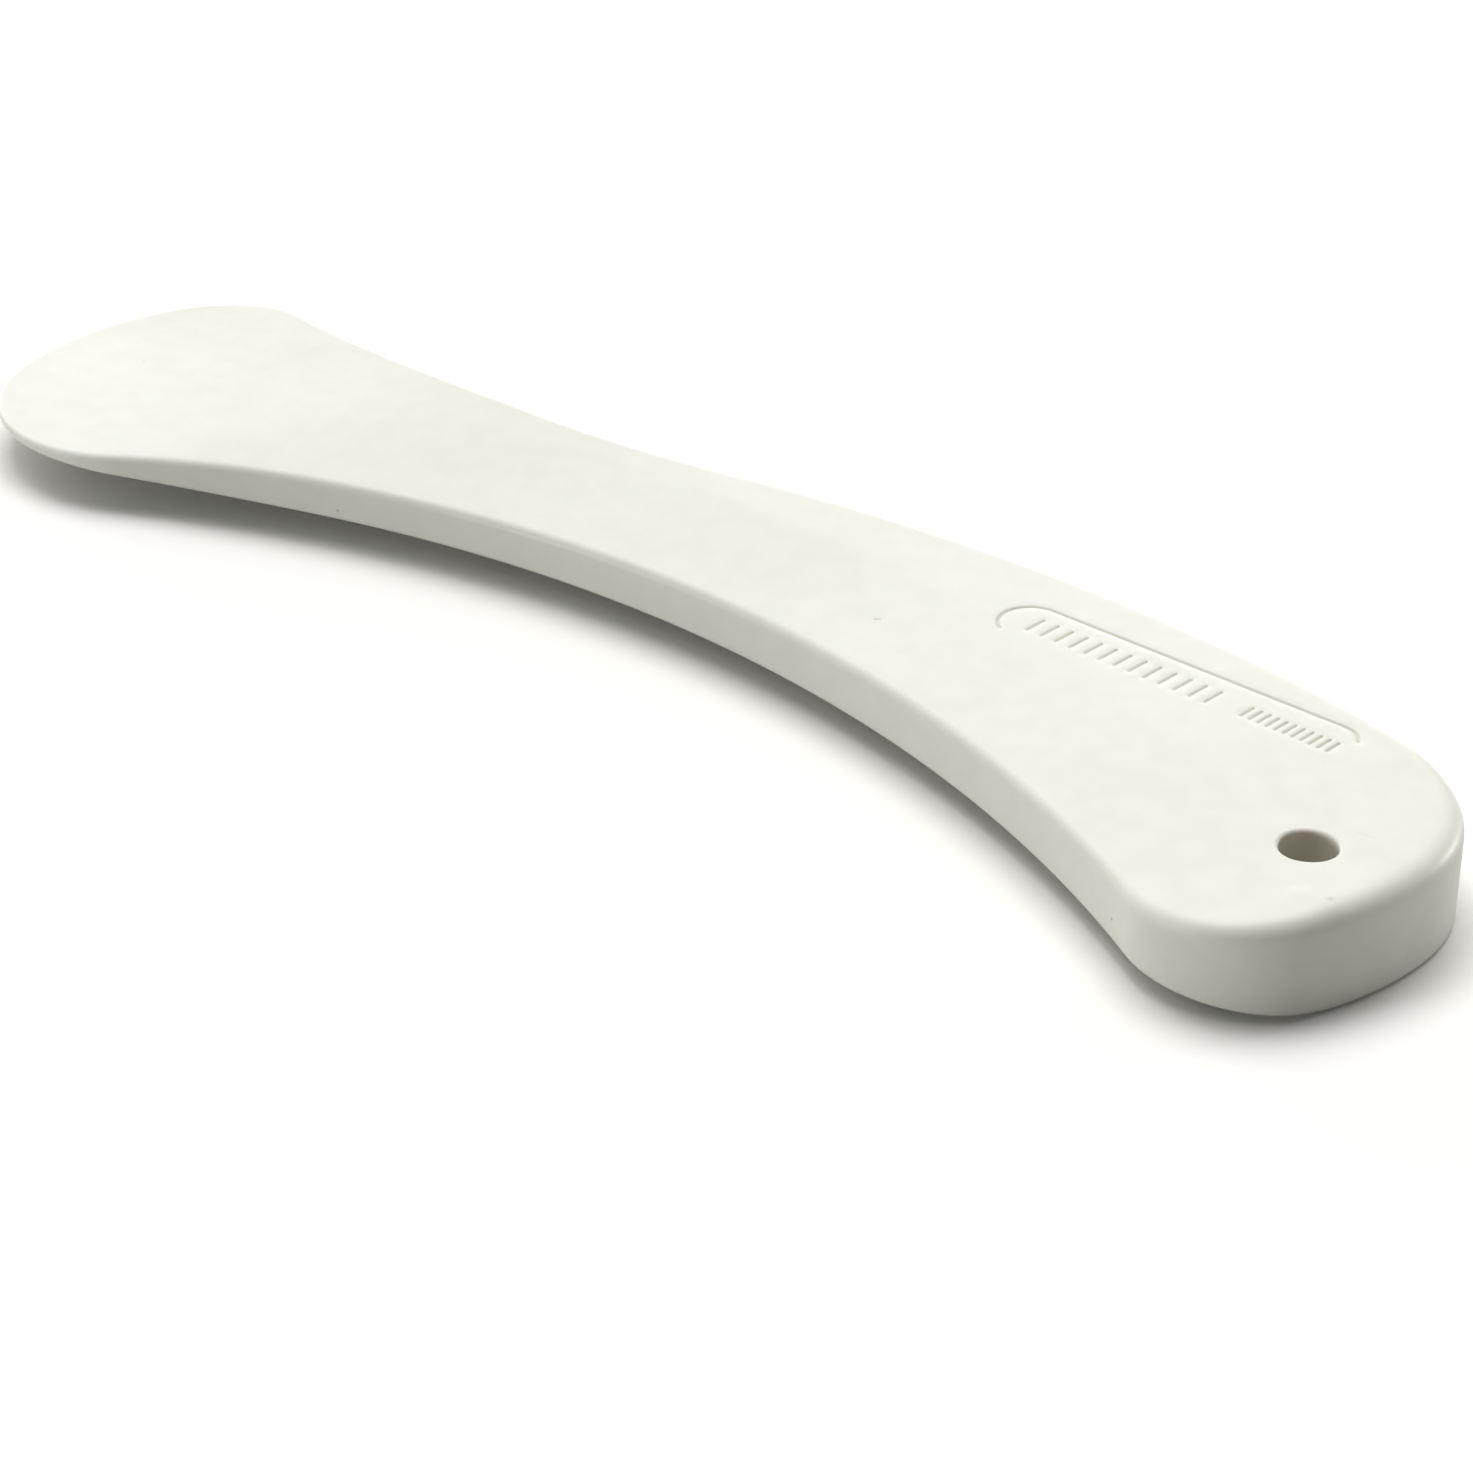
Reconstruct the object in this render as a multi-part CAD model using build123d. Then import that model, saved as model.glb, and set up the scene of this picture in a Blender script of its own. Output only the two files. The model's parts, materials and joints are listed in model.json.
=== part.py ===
"""Creasing spatula for paper and cloth: one crescent-shaped moulding in ivory plastic.

The frame has +X towards the rounded handle end, +Y towards the convex back and +Z up.
The origin is the bottom centre of the box round the tool, which lies on its flat side.
Both faces are alike: the tool is the same above and below its middle plane.
"""
from build123d import *
import math
import os

# Overall sizes, mm
LENGTH = 136.6
THICKNESS = 7.3
HALF_THICKNESS = THICKNESS / 2
EDGE_ROUND = 0.3

# The concave edge and the ridge are arcs round one point, the bend centre.
BEND_X, BEND_Y = 5.6, -105.8
INNER_RADIUS = 104.7
RIDGE_RADIUS = 114.1

# The convex back, and the hollow curve that widens it into the blade
BACK_X, BACK_Y = 26.95, -125.44
BACK_RADIUS = 141.7
FLARE_RADIUS = 112.0
FLARE_START_X = -2.85

# The rounded end of the blade
BLADE_RADIUS = 24.0
BLADE_X = BLADE_RADIUS - LENGTH / 2
BLADE_Y = 1.96
BLADE_INNER_CORNER = 15.0
BLADE_OUTER_CORNER = 8.0

# The rounded end of the handle
CAP_RADIUS = 23.7
CAP_X = LENGTH / 2 - CAP_RADIUS
CAP_Y = -0.83
CAP_INNER_CORNER = 8.2
CAP_OUTER_CORNER = 13.6

# Hanging hole
HOLE_X, HOLE_Y = 61.15, -3.04
HOLE_DIAMETER = 3.8

# Crown: an inner facet falls from the ridge to a lower wall along the concave edge. Its fall
# grows evenly with the angle round the bend centre.
CROWN_ANGLE = math.radians(60)
FACET_DROP_HANDLE = 1.25
FACET_DROP_BLADE = 2.35
RIDGE_BLEND = 0.6
RIDGE_ALLOWANCE = 0.1

# Blade: each face falls at an even rate to a thin rim, whose line is bowed round the blade's end.
RIM_HALF_THICKNESS = 0.35
BLADE_RATE = 0.083
BLADE_BLEND = 0.8
RIM_BLEND = 0.3
RIM_ANGLE = math.radians(36.2)
RIM_BOW = math.radians(0.0164)
RIM_RADIUS = 119.5

# Grid of heights that the crowned face passes through, in radius and angle round the bend centre
GRID_RADIUS_START = 100.0
GRID_RADIUS_STEP = 1.5
GRID_RADIUS_COUNT = 29
GRID_ANGLE_START = -45.0
GRID_ANGLE_STEP = 1.5
GRID_ANGLE_COUNT = 61
GRID_TOLERANCE = 0.005

# Engraving on the upper face: a line that curls round the end of two rows of bars
GROOVE_DEPTH = 0.14
GROOVE_WIDTH = 0.4
LINE_X, LINE_Y = 28.95, 11.38
LINE_LENGTH = 24.75
CURL_RADIUS = 2.4
CURL_SWEEP = 150.0
TAIL_RADIUS = 2.2
TAIL_SWEEP = 60.0
LONG_BARS_X, LONG_BARS_Y = 29.4, 8.78
LONG_BAR_COUNT = 13
LONG_BAR_LENGTH = 1.9
LONG_BAR_STEP_X, LONG_BAR_STEP_Y = 1.29, -0.005
SHORT_BARS_X, SHORT_BARS_Y = 47.8, 8.58
SHORT_BAR_COUNT = 11
SHORT_BAR_LENGTH = 1.4
SHORT_BAR_STEP_X, SHORT_BAR_STEP_Y = 0.7, -0.01


def circles_meet(first, first_radius, second, second_radius, side):
    """The point where two circles cross, on the left (+1) or right (-1) of the line between centres."""
    gap = second - first
    along = (first_radius**2 - second_radius**2 + gap.length**2) / (2 * gap.length)
    across = math.sqrt(first_radius**2 - along**2)
    ahead = gap.normalized()
    left = Vector(-ahead.Y, ahead.X)
    return first + ahead * along + left * (side * across)


def arc_between(centre, radius, start, end):
    """The shorter arc round a centre from one point to another."""
    middle = ((start - centre) + (end - centre)).normalized() * radius
    return ThreePointArc(start, centre + middle, end)


def plan_outline():
    """The outline seen from above: five arcs, with the four corners between them rounded."""
    bend = Vector(BEND_X, BEND_Y)
    back = Vector(BACK_X, BACK_Y)
    blade = Vector(BLADE_X, BLADE_Y)
    cap = Vector(CAP_X, CAP_Y)

    flare_start_y = BACK_Y + math.sqrt(BACK_RADIUS**2 - (FLARE_START_X - BACK_X)**2)
    flare_start = Vector(FLARE_START_X, flare_start_y)
    flare = back + (flare_start - back) * ((BACK_RADIUS + FLARE_RADIUS) / BACK_RADIUS)

    cap_inner = circles_meet(bend, INNER_RADIUS, cap, CAP_RADIUS, -1)
    cap_outer = circles_meet(back, BACK_RADIUS, cap, CAP_RADIUS, -1)
    blade_outer = circles_meet(flare, FLARE_RADIUS, blade, BLADE_RADIUS, -1)
    blade_inner = circles_meet(bend, INNER_RADIUS, blade, BLADE_RADIUS, 1)

    outline = make_face([
        arc_between(cap, CAP_RADIUS, cap_inner, cap_outer),
        arc_between(back, BACK_RADIUS, cap_outer, flare_start),
        arc_between(flare, FLARE_RADIUS, flare_start, blade_outer),
        ThreePointArc(blade_outer, Vector(-LENGTH / 2, BLADE_Y), blade_inner),
        arc_between(bend, INNER_RADIUS, blade_inner, cap_inner),
    ])
    corners = (
        (cap_inner, CAP_INNER_CORNER),
        (cap_outer, CAP_OUTER_CORNER),
        (blade_outer, BLADE_OUTER_CORNER),
        (blade_inner, BLADE_INNER_CORNER),
    )
    for corner, radius in corners:
        vertex = outline.vertices().sort_by_distance(corner)[0]
        outline = fillet(vertex, radius)
    return outline


def soft_min(first, second, blend):
    """The smaller of two heights, with the crease between them rounded where they are close."""
    closeness = max(blend - abs(first - second), 0) / blend
    return min(first, second) - closeness**2 * blend / 4


def half_thickness(radius, angle):
    """Height of a face above the middle plane, from the radius and angle round the bend centre.

    The angle is 0 along +Y and grows towards the blade.
    """
    facet_width = RIDGE_RADIUS - INNER_RADIUS
    towards_blade = 0.5 + angle / CROWN_ANGLE
    drop = FACET_DROP_HANDLE + (FACET_DROP_BLADE - FACET_DROP_HANDLE) * towards_blade
    facet = HALF_THICKNESS + drop * (radius - RIDGE_RADIUS) / facet_width
    crown = soft_min(facet, HALF_THICKNESS + RIDGE_ALLOWANCE, RIDGE_BLEND)

    rim_angle = RIM_ANGLE - RIM_BOW * (radius - RIM_RADIUS)**2
    wedge = RIM_HALF_THICKNESS + BLADE_RATE * radius * (rim_angle - angle)
    thinned = soft_min(crown, wedge, BLADE_BLEND)
    return -soft_min(-thinned, -RIM_HALF_THICKNESS, RIM_BLEND)


def crowned_face():
    """The upper face as a smooth surface through a grid of heights above the middle plane."""
    rows = []
    for step_out in range(GRID_RADIUS_COUNT):
        radius = GRID_RADIUS_START + GRID_RADIUS_STEP * step_out
        row = []
        for step_round in range(GRID_ANGLE_COUNT):
            angle = math.radians(GRID_ANGLE_START + GRID_ANGLE_STEP * step_round)
            x = BEND_X - radius * math.sin(angle)
            y = BEND_Y + radius * math.cos(angle)
            row.append(Vector(x, y, half_thickness(radius, angle)))
        rows.append(row)
    return Face.make_surface_from_array_of_points(rows, tol=GRID_TOLERANCE)


def half_body():
    """The tool above its middle plane: the outline's prism, cut down to the crowned face.

    The prism's flat top is the tool's flat area, and the ridge is where the two meet. The edge
    between the walls and the upper face is rounded.
    """
    below_face = Solid.extrude(crowned_face(), Vector(0, 0, -2 * THICKNESS))
    half = extrude(plan_outline(), HALF_THICKNESS) & below_face
    walls = half.faces().filter_by(GeomType.CYLINDER)
    wall_edges = [edge for wall in walls for edge in wall.edges()]
    lifted = RIM_HALF_THICKNESS / 2
    upper_edges = [edge for edge in wall_edges if edge.bounding_box().min.Z > lifted]
    return fillet(upper_edges, EDGE_ROUND)


def bar_row(start, step, count, length):
    """A row of bars across the tool, as a plan."""
    bar = SlotOverall(length, GROOVE_WIDTH, rotation=90)
    bars = Pos(start.X, start.Y) * bar
    for number in range(1, count):
        place = start + step * number
        bars += Pos(place.X, place.Y) * bar
    return bars


def engraving():
    """Cutters for the line and its bars, standing on the floor of the grooves."""
    line_start = Vector(LINE_X, LINE_Y)
    line_end = line_start + Vector(LINE_LENGTH, 0)
    curl_centre = line_start - Vector(0, CURL_RADIUS)
    tail_centre = line_end - Vector(0, TAIL_RADIUS)
    strokes = [
        CenterArc(curl_centre, CURL_RADIUS, 90, CURL_SWEEP),
        Line(line_start, line_end),
        CenterArc(tail_centre, TAIL_RADIUS, 90, -TAIL_SWEEP),
    ]
    long_bars_start = Vector(LONG_BARS_X, LONG_BARS_Y)
    long_bar_step = Vector(LONG_BAR_STEP_X, LONG_BAR_STEP_Y)
    short_bars_start = Vector(SHORT_BARS_X, SHORT_BARS_Y)
    short_bar_step = Vector(SHORT_BAR_STEP_X, SHORT_BAR_STEP_Y)
    marks = trace(strokes, GROOVE_WIDTH)
    marks += bar_row(long_bars_start, long_bar_step, LONG_BAR_COUNT, LONG_BAR_LENGTH)
    marks += bar_row(short_bars_start, short_bar_step, SHORT_BAR_COUNT, SHORT_BAR_LENGTH)
    return Pos(0, 0, THICKNESS - GROOVE_DEPTH) * extrude(marks, THICKNESS)


def spatula():
    """The whole moulding."""
    upper = Pos(0, 0, HALF_THICKNESS) * half_body()
    middle_plane = Plane.XY.offset(HALF_THICKNESS)
    body = upper + mirror(upper, about=middle_plane)
    hole = Pos(HOLE_X, HOLE_Y) * extrude(Circle(HOLE_DIAMETER / 2), THICKNESS)
    return body - hole - engraving()


os.makedirs("parts", exist_ok=True)
export_step(spatula(), "parts/spatula_body.step")
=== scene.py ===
"""Looks of the creasing spatula: a crescent moulded in satin ivory plastic, lying on a pale floor.

The moulding is built here as one fine mesh that stands for the CAD node. Its plan is a chain of
tangent arcs, its two faces are heights over that plan, and its shoulders, hanging hole and
engraving are real geometry. Shapes are worked out in millimetres and written in metres.
"""

import json
import math
from typing import NamedTuple

import bmesh
import bpy
import numpy as np
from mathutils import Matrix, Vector, kdtree
from mathutils.geometry import delaunay_2d_cdt


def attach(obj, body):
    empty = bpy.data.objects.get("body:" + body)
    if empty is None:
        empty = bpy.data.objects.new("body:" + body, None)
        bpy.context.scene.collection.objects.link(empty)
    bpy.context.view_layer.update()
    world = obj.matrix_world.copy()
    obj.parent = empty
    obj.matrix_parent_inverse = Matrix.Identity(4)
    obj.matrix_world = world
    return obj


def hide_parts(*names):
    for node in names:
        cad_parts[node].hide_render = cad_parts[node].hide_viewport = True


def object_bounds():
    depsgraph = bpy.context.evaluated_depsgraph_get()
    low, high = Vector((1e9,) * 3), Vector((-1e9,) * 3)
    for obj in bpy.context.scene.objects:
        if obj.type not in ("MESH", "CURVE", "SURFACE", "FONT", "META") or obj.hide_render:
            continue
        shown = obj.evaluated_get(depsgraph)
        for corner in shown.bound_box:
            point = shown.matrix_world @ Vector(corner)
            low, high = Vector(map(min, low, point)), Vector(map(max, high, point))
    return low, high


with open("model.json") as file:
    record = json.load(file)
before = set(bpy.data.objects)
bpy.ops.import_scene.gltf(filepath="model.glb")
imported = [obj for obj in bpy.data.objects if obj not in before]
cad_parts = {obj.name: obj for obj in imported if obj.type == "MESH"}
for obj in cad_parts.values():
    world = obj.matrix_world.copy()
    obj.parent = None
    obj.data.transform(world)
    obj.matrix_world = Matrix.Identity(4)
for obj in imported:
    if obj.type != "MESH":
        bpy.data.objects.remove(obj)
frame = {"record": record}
cad_low, cad_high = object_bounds()

MM = 0.001

# Overall sizes and the hanging hole, from the frame, mm
LENGTH = (cad_high.x - cad_low.x) / MM
THICKNESS = (cad_high.z - cad_low.z) / MM
HALF_THICKNESS = THICKNESS / 2
HOLE = next(mount for mount in frame["record"]["mounts"] if mount["name"] == "hanging_hole")
HOLE_CENTRE = Vector(HOLE["pos_m"][:2]) / MM
HOLE_RADIUS = HOLE["dims"]["r_mm"]

# Plan, mm: the concave edge and the ridge are arcs round the bend centre
BEND = Vector((5.6, -105.8))
INNER_RADIUS = 104.7
RIDGE_RADIUS = 114.1
BACK = Vector((26.95, -125.44))
BACK_RADIUS = 141.7
FLARE_START_X = -2.85
FLARE_RADIUS = 112.0
BLADE_RADIUS = 24.0
BLADE = Vector((BLADE_RADIUS - LENGTH / 2, 1.96))
BLADE_INNER_CORNER = 15.0
BLADE_OUTER_CORNER = 8.0
CAP_RADIUS = 23.7
CAP = Vector((LENGTH / 2 - CAP_RADIUS, -0.83))
CAP_INNER_CORNER = 8.2
CAP_OUTER_CORNER = 13.6

# Crown and blade, as heights above the middle plane, mm
CROWN_ANGLE = math.radians(60)
FACET_DROP_HANDLE = 1.25
FACET_DROP_BLADE = 2.35
RIDGE_BLEND = 0.6
RIDGE_ALLOWANCE = 0.1
RIM_HALF_THICKNESS = 0.35
BLADE_RATE = 0.083
BLADE_BLEND = 0.8
RIM_BLEND = 0.3
RIM_ANGLE = math.radians(36.2)
RIM_BOW = math.radians(0.0164)
RIM_RADIUS = 119.5

# Rounding between the wall and the upper face, mm, along each stretch of the plan. The rounding
# under it is the same all round, and neither is more than a share of the local half thickness.
SHOULDER_CAP = 1.5
SHOULDER_CAP_INNER = 1.2
SHOULDER_BACK = 0.85
SHOULDER_BLADE = 0.6
SHOULDER_BEND = 0.8
SHOULDER_HOLE = 0.3
SHOULDER_UNDER = 0.5
SHOULDER_SHARE = 0.9
SHOULDER_EASING = 5.0

# Mesh spacing, mm, and counts
GRID_STEP = 0.5
EDGE_ZONE = 2.0
WORN_FROM = 0.45
GRID_CLEARANCE = 0.28
GRID_RADII = (100.0, 140.0)
GRID_ANGLES = (math.radians(-38), math.radians(40))
OUTLINE_STEP = 0.4
HOLE_STEPS = 64
SHOULDER_STEPS = 8
WALL_STEPS = 6
WELD_DISTANCE = 0.002
CUT_TOLERANCE = 1e-6
QUAD_BEND_LIMIT = math.radians(8)
QUAD_SKEW_LIMIT = math.radians(25)

# Engraving, mm: a line that curls round the left of two rows of bars
GROOVE_DEPTH = 0.14
GROOVE_HALF_WIDTH = 0.2
LINE_DEPTH = 0.17
LINE_HALF_WIDTH = 0.24
GROOVE_RINGS = 4
GROOVE_STEP = 0.25
LINE_START = Vector((28.95, 11.38))
LINE_LENGTH = 24.75
CURL_RADIUS = 2.4
CURL_SWEEP = math.radians(150)
TAIL_RADIUS = 2.2
TAIL_SWEEP = math.radians(60)
LONG_BARS_START = Vector((29.4, 8.78))
LONG_BAR_COUNT = 13
LONG_BAR_LENGTH = 1.9
LONG_BAR_PITCH = Vector((1.29, -0.005))
SHORT_BARS_START = Vector((47.8, 8.58))
SHORT_BAR_COUNT = 11
SHORT_BAR_LENGTH = 1.4
SHORT_BAR_PITCH = Vector((0.7, -0.01))

# Marks of making and use, mm: a nick and a scuff in the upper face, as a start, an end, a half
# width and a depth, and the low stub on the cap's shoulder where the moulding was cut free
NICK = (Vector((19.65, 2.9)), Vector((20.0, 3.1)), 0.17, 0.07)
SCUFF = (Vector((62.6, 0.25)), Vector((63.6, 0.5)), 0.14, 0.015)
STUB = Vector((64.0, -8.1))
STUB_RADIUS = 0.9
STUB_HEIGHT = 0.13


class Arc(NamedTuple):
    """A stretch of the plan. Its radius is positive where it bulges out, negative where it is hollow."""

    centre: Vector
    radius: float
    shoulder: float


class Loop(NamedTuple):
    """A closed run of plan points with the material on its left, and the ways out of the material."""

    points: np.ndarray
    outward: np.ndarray
    shoulder: np.ndarray


def circles_meet(first, first_radius, second, second_radius, side):
    """Where two circles cross, on the left (+1) or right (-1) of the line between their centres."""
    gap = second - first
    along = (first_radius**2 - second_radius**2 + gap.length_squared) / (2 * gap.length)
    across = math.sqrt(first_radius**2 - along**2)
    ahead = gap.normalized()
    left = Vector((-ahead.y, ahead.x))
    return first + ahead * along + left * (side * across)


def rounded_corner(first, second, radius, side, shoulder):
    """The arc that rounds the corner between two arcs."""
    reach_first = abs(first.radius - radius)
    reach_second = abs(second.radius - radius)
    centre = circles_meet(first.centre, reach_first, second.centre, reach_second, side)
    return Arc(centre, radius, shoulder)


def touching_point(first, second):
    """Where two tangent arcs of the plan meet."""
    outward = (first.centre - second.centre) / (second.radius - first.radius)
    return first.centre + outward * first.radius


def plan_arcs():
    """The tangent arcs of the plan, counter-clockwise from the handle's end."""
    cap = Arc(CAP, CAP_RADIUS, SHOULDER_CAP)
    back = Arc(BACK, BACK_RADIUS, SHOULDER_BACK)
    flare_start = Vector((FLARE_START_X - BACK.x, 0))
    flare_start.y = math.sqrt(BACK_RADIUS**2 - flare_start.x**2)
    flare_centre = BACK + flare_start * (BACK_RADIUS + FLARE_RADIUS) / BACK_RADIUS
    flare = Arc(flare_centre, -FLARE_RADIUS, SHOULDER_BACK)
    blade = Arc(BLADE, BLADE_RADIUS, SHOULDER_BLADE)
    bend = Arc(BEND, -INNER_RADIUS, SHOULDER_BEND)
    return [
        cap,
        rounded_corner(back, cap, CAP_OUTER_CORNER, -1, SHOULDER_CAP),
        back,
        flare,
        rounded_corner(flare, blade, BLADE_OUTER_CORNER, -1, SHOULDER_BLADE),
        blade,
        rounded_corner(bend, blade, BLADE_INNER_CORNER, 1, SHOULDER_BLADE),
        bend,
        rounded_corner(bend, cap, CAP_INNER_CORNER, -1, SHOULDER_CAP_INNER),
    ]


def outline_loop():
    """The plan sampled evenly, with its shoulder radius eased from each arc to the next."""
    arcs = plan_arcs()
    points, outward, shoulder = [], [], []
    for before, arc, after in zip(arcs[-1:] + arcs[:-1], arcs, arcs[1:] + arcs[:1]):
        start = touching_point(before, arc) - arc.centre
        end = touching_point(arc, after) - arc.centre
        start_angle = math.atan2(start.y, start.x)
        end_angle = math.atan2(end.y, end.x)
        turn = math.copysign(1, arc.radius)
        sweep = turn * (end_angle - start_angle) % math.tau
        steps = math.ceil(abs(arc.radius) * sweep / OUTLINE_STEP)
        for step in range(steps):
            angle = start_angle + turn * sweep * step / steps
            radial = np.array((math.cos(angle), math.sin(angle)))
            points.append(np.array(arc.centre) + radial * abs(arc.radius))
            outward.append(radial * turn)
            shoulder.append(arc.shoulder)
    reach = round(SHOULDER_EASING / OUTLINE_STEP)
    shifted = [np.roll(shoulder, shift) for shift in range(-reach, reach + 1)]
    return Loop(np.array(points), np.array(outward), np.mean(shifted, axis=0))


def hole_loop():
    """The hanging hole, clockwise, so that the material is on its left."""
    angles = np.linspace(0, -math.tau, HOLE_STEPS, endpoint=False)
    radial = np.stack([np.cos(angles), np.sin(angles)], axis=1)
    points = np.array(HOLE_CENTRE) + radial * HOLE_RADIUS
    return Loop(points, -radial, np.full(HOLE_STEPS, SHOULDER_HOLE))


def soft_min(first, second, blend):
    """The smaller of two heights, with the crease between them rounded where they are close."""
    closeness = np.maximum(blend - np.abs(first - second), 0) / blend
    return np.minimum(first, second) - closeness**2 * blend / 4


def face_height(points):
    """Height of a face above the middle plane at plan points, without its shoulders."""
    across = points[:, 0] - BEND.x
    along = points[:, 1] - BEND.y
    radius = np.hypot(across, along)
    angle = np.arctan2(-across, along)

    towards_blade = 0.5 + angle / CROWN_ANGLE
    drop = FACET_DROP_HANDLE + (FACET_DROP_BLADE - FACET_DROP_HANDLE) * towards_blade
    facet_width = RIDGE_RADIUS - INNER_RADIUS
    facet = HALF_THICKNESS + drop * (radius - RIDGE_RADIUS) / facet_width
    crown = soft_min(facet, HALF_THICKNESS + RIDGE_ALLOWANCE, RIDGE_BLEND)

    rim_angle = RIM_ANGLE - RIM_BOW * (radius - RIM_RADIUS)**2
    wedge = RIM_HALF_THICKNESS + BLADE_RATE * radius * (rim_angle - angle)
    thinned = soft_min(crown, wedge, BLADE_BLEND)
    height = -soft_min(-thinned, -RIM_HALF_THICKNESS, RIM_BLEND)
    return np.minimum(height, HALF_THICKNESS)


def shoulder_rows(loop, radius):
    """Rows of points from a face over its shoulder to the wall, above the middle plane."""
    radius = np.minimum(radius, SHOULDER_SHARE * face_height(loop.points))[:, None]
    inside = loop.points - loop.outward * radius
    further_in = inside - loop.outward * GRID_STEP
    fall = (face_height(further_in) - face_height(inside)) / GRID_STEP
    tilt = np.arctan(fall)[:, None]
    contact = loop.points - loop.outward * radius * (1 - np.sin(tilt))
    centre_height = face_height(contact)[:, None] - radius * np.cos(tilt)

    rows = []
    for step in range(SHOULDER_STEPS + 1):
        turned = tilt + (math.pi / 2 - tilt) * step / SHOULDER_STEPS
        plan = loop.points - loop.outward * radius * (1 - np.sin(turned))
        rows.append(np.hstack([plan, centre_height + radius * np.cos(turned)]))
    return rows


def mirrored(points):
    """Points on the other side of the middle plane."""
    return points * (1, 1, -1)


def wall_rows(upper, under):
    """Rows of points from the upper face to the lower one, between two shoulders.

    Both shoulders are given above the middle plane, and the second is turned under it.
    """
    lower = [mirrored(row) for row in reversed(under)]
    shares = [step / WALL_STEPS for step in range(1, WALL_STEPS)]
    middle = [upper[-1] * (1 - share) + lower[0] * share for share in shares]
    return upper + middle + lower


def arc_points(centre, radius, start_angle, sweep):
    """Evenly spaced points on an arc, both ends included."""
    steps = math.ceil(abs(sweep) * radius / GROOVE_STEP)
    angles = start_angle + sweep * np.linspace(0, 1, steps + 1)
    return np.array(centre) + radius * np.stack([np.cos(angles), np.sin(angles)], axis=1)


def straight_points(start, end):
    """Evenly spaced points on a straight line, both ends included."""
    steps = math.ceil((end - start).length / GROOVE_STEP)
    shares = np.linspace(0, 1, steps + 1)[:, None]
    return np.array(start) * (1 - shares) + np.array(end) * shares


def engraved_line():
    """The long line of the engraving: a curl, a straight run and a falling tail."""
    line_end = LINE_START + Vector((LINE_LENGTH, 0))
    curl_centre = LINE_START - Vector((0, CURL_RADIUS))
    tail_centre = line_end - Vector((0, TAIL_RADIUS))
    quarter = math.pi / 2
    curl = arc_points(curl_centre, CURL_RADIUS, quarter + CURL_SWEEP, -CURL_SWEEP)
    tail = arc_points(tail_centre, TAIL_RADIUS, quarter, -TAIL_SWEEP)
    return np.vstack([curl, straight_points(LINE_START, line_end)[1:], tail[1:]])


def engraved_bars(start, pitch, count, length):
    """A row of bars across the tool, each from its inner end to its outer end."""
    half = Vector((0, length / 2))
    middles = [start + pitch * number for number in range(count)]
    return [straight_points(middle - half, middle + half) for middle in middles]


def ring_round(path, distance):
    """The closed ring at one distance round an open path, with round ends."""
    ahead = np.gradient(path, axis=0)
    ahead /= np.linalg.norm(ahead, axis=1)[:, None]
    left = np.stack([-ahead[:, 1], ahead[:, 0]], axis=1) * distance
    ends = []
    for tip, side in ((path[-1], left[-1]), (path[0], -left[0])):
        angles = np.linspace(0, -math.pi, 7)[1:-1]
        forward = np.array((side[1], -side[0]))
        ends.append([tip + side * math.cos(a) - forward * math.sin(a) for a in angles])
    return np.vstack([path + left, ends[0], (path - left)[::-1], ends[1]])


def groove_chains(path, half_width=GROOVE_HALF_WIDTH, depth=GROOVE_DEPTH):
    """Closed rings round a stroke, from the rim of its groove inwards, and its middle line."""
    chains = []
    for ring in range(GROOVE_RINGS):
        share = ring / GROOVE_RINGS
        sunk = depth * (1 - math.cos(math.pi * share)) / 2
        points = ring_round(path, half_width * (1 - share))
        chains.append((sunk_points(points, sunk), True))
    chains.append((sunk_points(path, depth), False))
    return chains


def sunk_points(plan, depth):
    """Plan points at a depth below the upper face."""
    return np.hstack([plan, face_height(plan)[:, None] - depth])


def search_tree(points):
    """A tree that finds the nearest of some plan points."""
    tree = kdtree.KDTree(len(points))
    for number, point in enumerate(points):
        tree.insert((point[0], point[1], 0), number)
    tree.balance()
    return tree


def grid_points():
    """Plan points on arcs and rays round the bend centre, over the whole outline and more."""
    angle_step = GRID_STEP / (sum(GRID_RADII) / 2)
    radius, angle = np.meshgrid(
        np.arange(*GRID_RADII, GRID_STEP), np.arange(*GRID_ANGLES, angle_step)
    )
    x = BEND.x - radius * np.sin(angle)
    y = BEND.y + radius * np.cos(angle)
    return np.stack([x.ravel(), y.ravel()], axis=1)


def face_patch(rims, chains):
    """Points and triangles of the upper face between its rims, passing through the chains' points.

    A rim is a row of points with the ways out of the material. A chain is a row of points and
    whether it closes on itself.
    """
    rim_plan = np.vstack([row[:, :2] for row, outward in rims])
    rim_outward = np.vstack([outward for row, outward in rims])
    rim_tree = search_tree(rim_plan)

    def is_inside(point):
        nearest, number, gap = rim_tree.find((point[0], point[1], 0))
        return np.dot(point - rim_plan[number], rim_outward[number]) < 0

    lines = [(row, True) for row, outward in rims] + chains
    line_points = np.vstack([row for row, closed in lines])
    line_tree = search_tree(line_points)
    clear = [
        point
        for point in grid_points()
        if line_tree.find((point[0], point[1], 0))[2] > GRID_CLEARANCE and is_inside(point)
    ]
    points = np.vstack([line_points, sunk_points(np.array(clear), 0)])

    edges = []
    start = 0
    for row, closed in lines:
        last = len(row) if closed else len(row) - 1
        edges += [(start + step, start + (step + 1) % len(row)) for step in range(last)]
        start += len(row)

    plan = [Vector(point[:2]) for point in points]
    found, _, triangles, sources, _, _ = delaunay_2d_cdt(plan, edges, [], 0, CUT_TOLERANCE)
    patch = np.array([points[source[0]] for source in sources])
    kept = [t for t in triangles if is_inside(patch[list(t)].mean(axis=0)[:2])]
    return patch, kept


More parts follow.
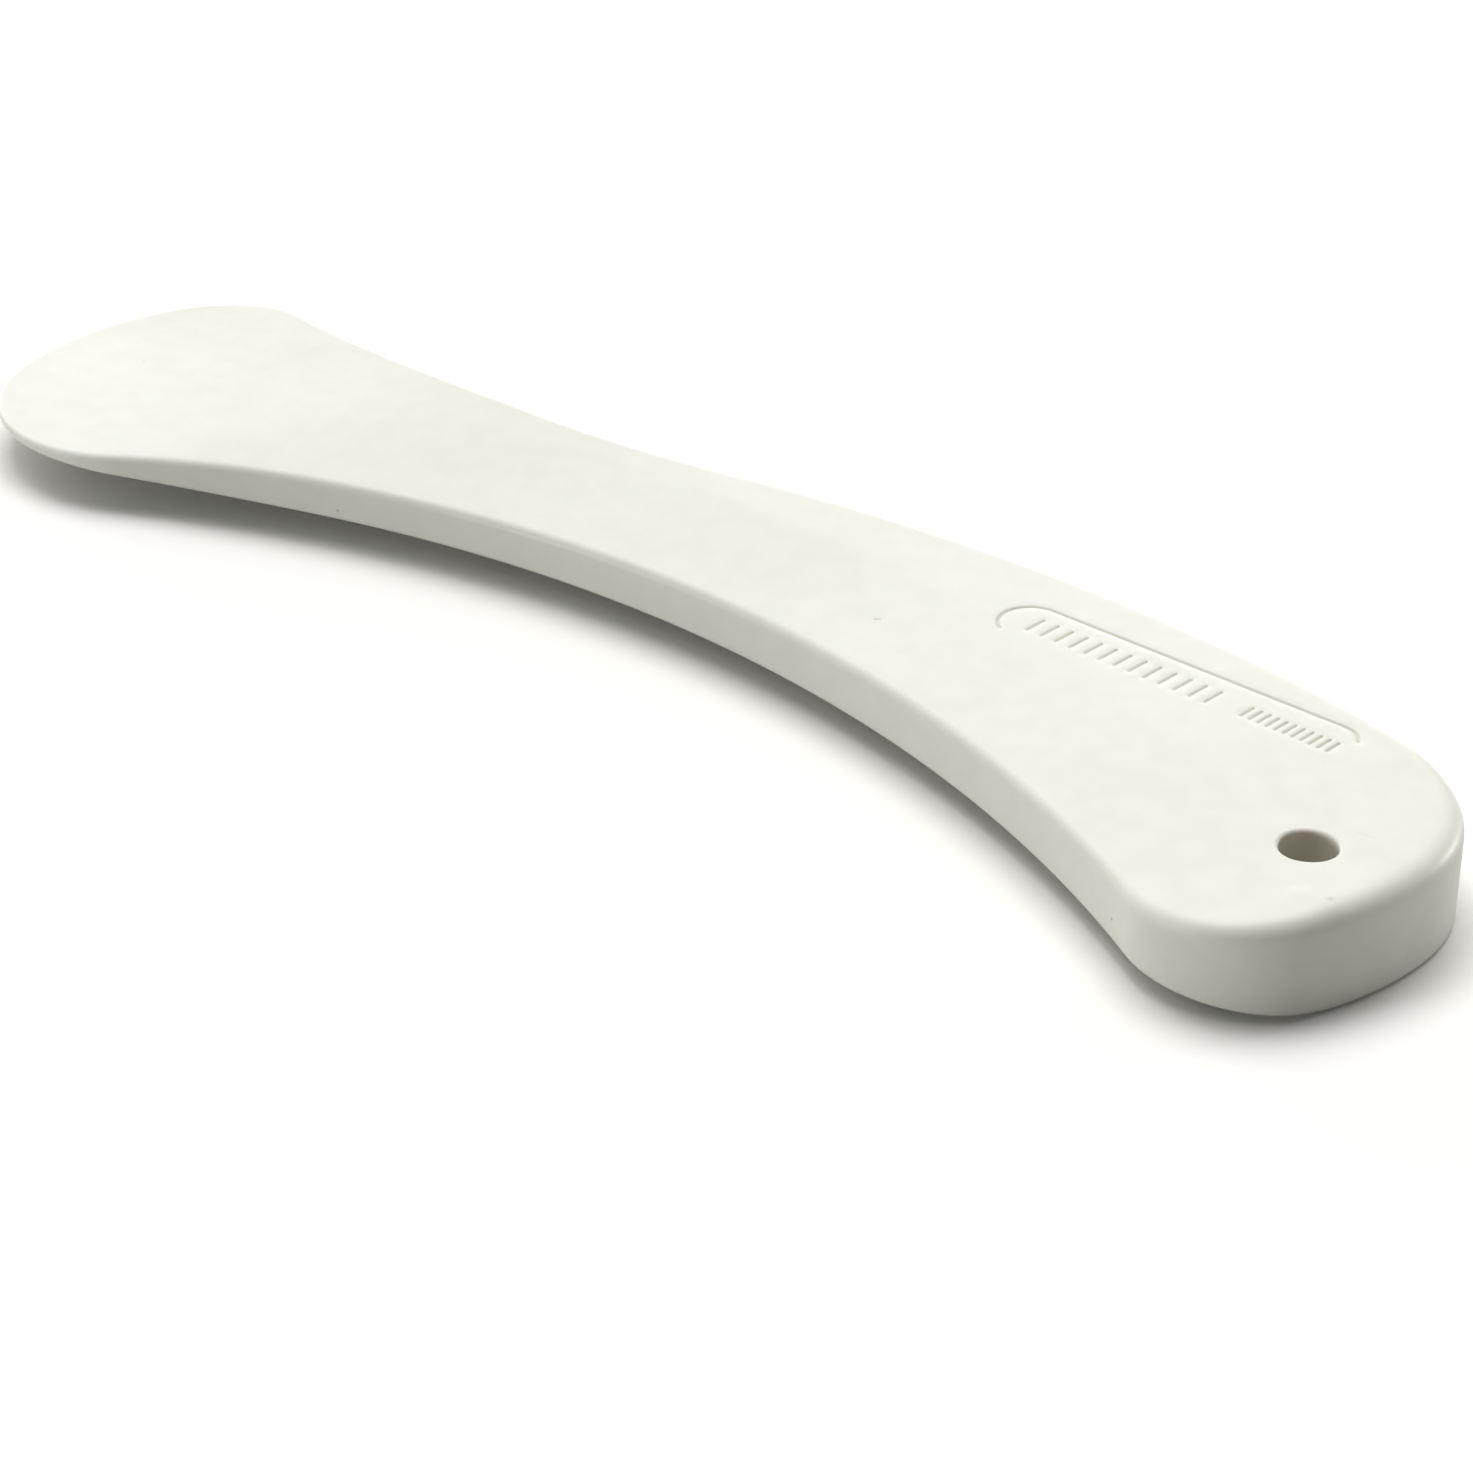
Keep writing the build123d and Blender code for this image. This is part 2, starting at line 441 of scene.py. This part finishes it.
def moulding_mesh():
    """The whole moulding as one closed mesh."""
    loops = (outline_loop(), hole_loop())
    uppers = [shoulder_rows(loop, loop.shoulder) for loop in loops]
    unders = [shoulder_rows(loop, np.minimum(loop.shoulder, SHOULDER_UNDER)) for loop in loops]

    strokes = engraved_bars(LONG_BARS_START, LONG_BAR_PITCH, LONG_BAR_COUNT, LONG_BAR_LENGTH)
    strokes += engraved_bars(SHORT_BARS_START, SHORT_BAR_PITCH, SHORT_BAR_COUNT, SHORT_BAR_LENGTH)
    grooves = [chain for stroke in strokes for chain in groove_chains(stroke)]
    grooves += groove_chains(engraved_line(), LINE_HALF_WIDTH, LINE_DEPTH)
    for start, end, half_width, depth in (NICK, SCUFF):
        grooves += groove_chains(straight_points(start, end), half_width, depth)
    upper_rims = [(rows[0], loop.outward) for rows, loop in zip(uppers, loops)]
    lower_rims = [(rows[0], loop.outward) for rows, loop in zip(unders, loops)]

    mesh = bmesh.new()
    for upper, under in zip(uppers, unders):
        add_band(mesh, wall_rows(upper, under))
    points, triangles = face_patch(upper_rims, grooves)
    add_faces(mesh, points, triangles)
    points, triangles = face_patch(lower_rims, [])
    add_faces(mesh, mirrored(points), triangles, flipped=True)
    bmesh.ops.remove_doubles(mesh, verts=mesh.verts, dist=WELD_DISTANCE)
    bmesh.ops.join_triangles(
        mesh,
        faces=[face for face in mesh.faces if len(face.verts) == 3],
        angle_face_threshold=QUAD_BEND_LIMIT,
        angle_shape_threshold=QUAD_SKEW_LIMIT,
    )
    return mesh


def add_faces(mesh, points, faces, flipped=False):
    """Adds points and the faces between them, turned over if flipped."""
    verts = [mesh.verts.new(point) for point in points]
    for face in faces:
        order = reversed(face) if flipped else face
        mesh.faces.new([verts[number] for number in order])


def add_band(mesh, rows):
    """Adds the quads between neighbouring closed rows, which run with the material on their left."""
    count = len(rows[0])
    points = np.vstack(rows)
    faces = []
    for row in range(len(rows) - 1):
        upper = row * count
        lower = upper + count
        for step in range(count):
            after = (step + 1) % count
            faces.append((upper + step, lower + step, lower + after, upper + after))
    add_faces(mesh, points, faces)


def mark_wear(mesh):
    """Stores where the mesh is recessed, in the hole and the grooves, which the material darkens with
    painted shade, and where its edges wear.
    """
    recess = mesh.verts.layers.float.new("recess")
    worn = mesh.verts.layers.float.new("worn")
    mesh.normal_update()
    outline = search_tree(outline_loop().points)
    heights = face_height(np.array([vert.co.xy for vert in mesh.verts]))
    for vert, height in zip(mesh.verts, heights):
        plan = vert.co.xy
        in_hole = (plan - HOLE_CENTRE).length < HOLE_RADIUS + WELD_DISTANCE
        off_edge = outline.find((plan.x, plan.y, 0))[2] > EDGE_ZONE
        if in_hole:
            vert[recess] = 1.0
        elif off_edge and vert.co.z > 0:
            vert[recess] = min(max(height - vert.co.z, 0) / GROOVE_DEPTH, 1)
        else:
            tilt = math.acos(min(abs(vert.normal.z), 1))
            vert[worn] = max(math.sin(2 * tilt) - WORN_FROM, 0) / (1 - WORN_FROM)


def raise_stub(mesh):
    """Swells the cap's shoulder into the low stub where the moulding was cut free."""
    mesh.normal_update()
    for vert in mesh.verts:
        share = (vert.co.xy - STUB).length / STUB_RADIUS
        if share < 1 and vert.co.z > 0:
            vert.co += vert.normal * STUB_HEIGHT * (1 - share**2)**2


def moulding():
    """The moulding as a piece that stands for the CAD node."""
    mesh = moulding_mesh()
    mark_wear(mesh)
    raise_stub(mesh)
    to_frame = Vector((0, 0, HALF_THICKNESS))
    for vert in mesh.verts:
        vert.co = (vert.co + to_frame) * MM
    data = bpy.data.meshes.new("spatula_moulding")
    for face in mesh.faces:
        face.smooth = True
    mesh.to_mesh(data)
    mesh.free()
    data.validate()
    piece = bpy.data.objects.new("spatula_moulding", data)
    bpy.context.scene.collection.objects.link(piece)
    return piece


# Camera, metres and degrees: it looks down across the handle, from the side of the concave edge
CAMERA_HEADING = math.radians(43.6)
CAMERA_PITCH = math.radians(28.57)
CAMERA_HEIGHT = 0.1206
CAMERA_BEHIND_HOLE = 0.1939
CAMERA_LEFT_OF_HOLE = 0.0357
CAMERA_SENSOR = 36.0
CAMERA_LENS = 87.98


def plan_direction(angle):
    """The horizontal direction at an angle from +Y, counter-clockwise."""
    return Vector((-math.sin(angle), math.cos(angle), 0))


def add_camera():
    """The camera at the height, place and angle from which the tool is shown."""
    data = bpy.data.cameras.new("camera")
    data.sensor_width = CAMERA_SENSOR
    data.lens = CAMERA_LENS
    data.clip_start = 0.01
    camera = bpy.data.objects.new("camera", data)
    ahead = plan_direction(CAMERA_HEADING)
    left = plan_direction(CAMERA_HEADING + math.pi / 2)
    hole = Vector(HOLE["pos_m"][:2]).to_3d()
    camera.location = hole - ahead * CAMERA_BEHIND_HOLE + left * CAMERA_LEFT_OF_HOLE
    camera.location.z = CAMERA_HEIGHT
    camera.rotation_euler = (math.pi / 2 - CAMERA_PITCH, 0, CAMERA_HEADING)
    bpy.context.scene.collection.objects.link(camera)
    bpy.context.scene.camera = camera


# Lights: broad soft suns, each with the side of the camera's heading that it stands on, its elevation
# and its spread, in degrees, and its strength
SUNS = (
    ("key", 0, 65, 40, 0.60),
    ("key_left", 60, 65, 30, 0.20),
    ("key_right", -60, 65, 30, 0.10),
    ("back_left", 30, 15, 30, 0.30),
    ("back_right", -45, 40, 30, 0.12),
    ("low_back", -10, 8, 16, 0.12),
    ("left", 90, 40, 30, 0.10),
    ("low_left", 105, 5, 10, 0.30),
    ("low_right", -60, 5, 10, 0.25),
    ("front_right", -140, 15, 30, 0.08),
)


def add_sun(name, side, elevation, spread, strength):
    """A soft sun. Strength is how bright it makes a white surface that faces it."""
    data = bpy.data.lights.new(name, "SUN")
    data.energy = strength * math.pi
    data.angle = math.radians(spread)
    light = bpy.data.objects.new(name, data)
    heading = plan_direction(CAMERA_HEADING + math.radians(side))
    rise = math.radians(elevation)
    towards_light = heading * math.cos(rise) + Vector((0, 0, math.sin(rise)))
    light.rotation_euler = towards_light.to_track_quat("Z", "Y").to_euler()
    bpy.context.scene.collection.objects.link(light)


def add_lights():
    """The suns, with nothing lit round them."""
    for sun in SUNS:
        add_sun(*sun)
    world = bpy.data.worlds.new("studio")
    world.use_nodes = True
    world.node_tree.nodes["Background"].inputs["Strength"].default_value = 0.0
    bpy.context.scene.world = world
    bpy.context.scene.view_settings.view_transform = "Standard"


# Ivory plastic: colours, noise scales in features per metre, heights in metres, and how far each
# detail changes the colour or the roughness
LIGHT_IVORY = (0.800, 0.802, 0.736, 1)
DEEP_IVORY = (0.772, 0.768, 0.694, 1)
# Painted shade: the warm dark tint laid into the hole and the grooves
RECESS_SHADE_COLOUR = (0.50, 0.44, 0.34, 1)
SPECK = (0.36, 0.31, 0.24, 1)
FLOW_SCALE = 28
MOTTLE_SCALE = 450
MOTTLE_VALUES = (0.985, 1.012)
SPECK_SCALE = 260
SPECK_RADII = (0.02, 0.045)
SPECK_CHANCE = (0.84, 0.86)
SPECK_STRENGTH = 0.6
RECESS_SHADE_SHARE = 0.3
SMUDGE_SCALE = 70
RIPPLE_SCALE = 150
RIPPLE_HEIGHT = 30e-6
GRAIN_SCALE = 3200
GRAIN_HEIGHT = 1.2e-6
SCRATCH_DEPTH = 2.5e-6
SCRATCH_DIRECTIONS = (math.radians(24), math.radians(-38), math.radians(75))
SCRATCH_STRETCH = (60, 2200, 60)
SCRATCH_THRESHOLD = (0.66, 0.74)
SCRATCHED_FROM_X, SCRATCHED_TO_X = -0.06, 0.03
SCRATCH_SHARE_AT_HANDLE = 0.35
SCRATCH_DULLING = 0.08
WORN_POLISH = -0.07
POLISHED_ROUGHNESS = 0.43
DULL_ROUGHNESS = 0.53
SPECULAR_LEVEL = 0.38
SUBSURFACE_SHARE = 0.15
SUBSURFACE_RADIUS = (1.0, 0.75, 0.5)


class Graph:
    """The nodes of one material, round its Principled shader."""

    def __init__(self, name):
        self.material = bpy.data.materials.new(name)
        self.material.use_nodes = True
        self.tree = self.material.node_tree
        self.shader = self.tree.nodes["Principled BSDF"]

    def add(self, kind, inputs, output=0, **settings):
        """Adds a node, with each input linked or set to a value. Returns one of its outputs."""
        node = self.tree.nodes.new("ShaderNode" + kind)
        for name, value in settings.items():
            setattr(node, name, value)
        self.fill(node, inputs)
        return node.outputs[output]

    def fill(self, node, inputs):
        """Links each input of a node, or sets it to a value."""
        for name, value in inputs.items():
            if isinstance(value, bpy.types.NodeSocket):
                self.tree.links.new(value, node.inputs[name])
            else:
                node.inputs[name].default_value = value

    def noise(self, place, scale, detail=2.0, distortion=0.0):
        """Smooth noise, about 0.5 on average."""
        inputs = {"Vector": place, "Scale": scale, "Detail": detail, "Distortion": distortion}
        return self.add("TexNoise", inputs)

    def spread(self, value, low, high, to_low=0.0, to_high=1.0):
        """A value carried smoothly from one range to another, and held at its ends."""
        inputs = {"From Min": low, "From Max": high, "To Min": to_low, "To Max": to_high}
        return self.add("MapRange", {"Value": value, **inputs}, interpolation_type="SMOOTHSTEP")

    def combine(self, operation, first, second):
        """Two numbers put together by a sum, a product or another operation."""
        return self.add("Math", {0: first, 1: second}, operation=operation)

    def tint(self, share, first, second):
        """A blend from one colour to another."""
        return self.add("MixRGB", {"Fac": share, "Color1": first, "Color2": second})


def scratches(graph, place):
    """Sparse hairline scratches in a few directions, more of them towards the blade's end."""
    lines = 0.0
    for turn in SCRATCH_DIRECTIONS:
        inputs = {"Vector": place, "Rotation": (0, 0, turn), "Scale": SCRATCH_STRETCH}
        stretched = graph.add("Mapping", inputs)
        streaks = graph.noise(stretched, 1.0)
        lines = graph.combine("MAXIMUM", graph.spread(streaks, *SCRATCH_THRESHOLD), lines)
    along = graph.add("SeparateXYZ", {"Vector": place})
    use = graph.spread(along, SCRATCHED_FROM_X, SCRATCHED_TO_X, 1.0, SCRATCH_SHARE_AT_HANDLE)
    return graph.combine("MULTIPLY", lines, use)


def specks(graph, place):
    """A few tiny dark specks in the moulding."""
    inputs = {"Vector": place, "Scale": SPECK_SCALE}
    distance = graph.add("TexVoronoi", inputs)
    cell = graph.add("TexVoronoi", inputs, output="Color")
    chance = graph.add("SeparateColor", {"Color": cell})
    dot = graph.spread(distance, *SPECK_RADII, 1.0, 0.0)
    strength = graph.spread(chance, *SPECK_CHANCE, 0.0, SPECK_STRENGTH)
    return graph.combine("MULTIPLY", dot, strength)


def ivory_plastic():
    """Satin ivory plastic: mottled colour, specks, handling marks, painted shade in the hole and
    grooves, soft ripples and fine grain.
    """
    graph = Graph("ivory_plastic")
    place = graph.add("TexCoord", {}, output="Object")
    recess = graph.add("Attribute", {}, output="Fac", attribute_name="recess")
    worn = graph.add("Attribute", {}, output="Fac", attribute_name="worn")
    lines = scratches(graph, place)

    flow = graph.noise(place, FLOW_SCALE, detail=3.0, distortion=0.5)
    colour = graph.tint(graph.spread(flow, 0.35, 0.65), LIGHT_IVORY, DEEP_IVORY)
    mottle = graph.spread(graph.noise(place, MOTTLE_SCALE), 0.3, 0.7, *MOTTLE_VALUES)
    colour = graph.add("HueSaturation", {"Color": colour, "Value": mottle})
    colour = graph.tint(specks(graph, place), colour, SPECK)
    # Painted shade in the hole and the grooves, darker where they sink deeper
    colour = graph.tint(graph.combine("MULTIPLY", recess, RECESS_SHADE_SHARE), colour, RECESS_SHADE_COLOUR)

    smudge = graph.noise(place, SMUDGE_SCALE, detail=4.0)
    roughness = graph.spread(smudge, 0.3, 0.7, POLISHED_ROUGHNESS, DULL_ROUGHNESS)
    roughness = graph.combine("ADD", roughness, graph.combine("MULTIPLY", worn, WORN_POLISH))
    roughness = graph.combine("ADD", roughness, graph.combine("MULTIPLY", lines, SCRATCH_DULLING))

    ripple = graph.combine("MULTIPLY", graph.noise(place, RIPPLE_SCALE), RIPPLE_HEIGHT)
    grain = graph.combine("MULTIPLY", graph.noise(place, GRAIN_SCALE), GRAIN_HEIGHT)
    furrow = graph.combine("MULTIPLY", lines, -SCRATCH_DEPTH)
    relief = graph.combine("ADD", graph.combine("ADD", ripple, grain), furrow)
    normal = graph.add("Bump", {"Height": relief, "Distance": 1.0})

    graph.fill(graph.shader, {
        "Base Color": colour,
        "Roughness": roughness,
        "Normal": normal,
        "Specular IOR Level": SPECULAR_LEVEL,
        "Subsurface Weight": SUBSURFACE_SHARE,
        "Subsurface Radius": SUBSURFACE_RADIUS,
        "Subsurface Scale": MM,
    })
    return graph.material


def matt(name, colour):
    """A plain matt sheet."""
    graph = Graph(name)
    values = {"Base Color": colour, "Roughness": 1.0, "Specular IOR Level": 0.0}
    graph.fill(graph.shader, values)
    return graph.material


# Floor: the camera sees the pale sheet. Bounce light sees only the greyer one just under it, which
# keeps the floor from lighting the tool's walls too much.
FLOOR_SIZE = 6.0
FLOOR_COLOUR = (0.965, 0.955, 0.925, 1)
BOUNCE_COLOUR = (0.53, 0.53, 0.505, 1)
BOUNCE_DEPTH = 0.05 * MM


def add_sheet(name, colour, depth):
    """A plain sheet under the tool."""
    bpy.ops.mesh.primitive_plane_add(size=FLOOR_SIZE, location=(0, 0, cad_low.z - depth))
    sheet = bpy.context.object
    sheet.name = name
    sheet.data.materials.append(matt(name, colour))
    sheet.visible_shadow = False
    return sheet


def add_floor():
    """The plain floor that the tool lies on."""
    seen = add_sheet("floor", FLOOR_COLOUR, 0)
    seen.visible_diffuse = False
    bounce = add_sheet("floor_bounce", BOUNCE_COLOUR, BOUNCE_DEPTH)
    bounce.visible_camera = False
    bounce.visible_glossy = False
    bounce.visible_transmission = False


add_camera()
add_lights()
add_floor()

piece = moulding()
plastic = ivory_plastic()
piece.data.materials.append(plastic)
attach(piece, "root")
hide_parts("spatula_body")
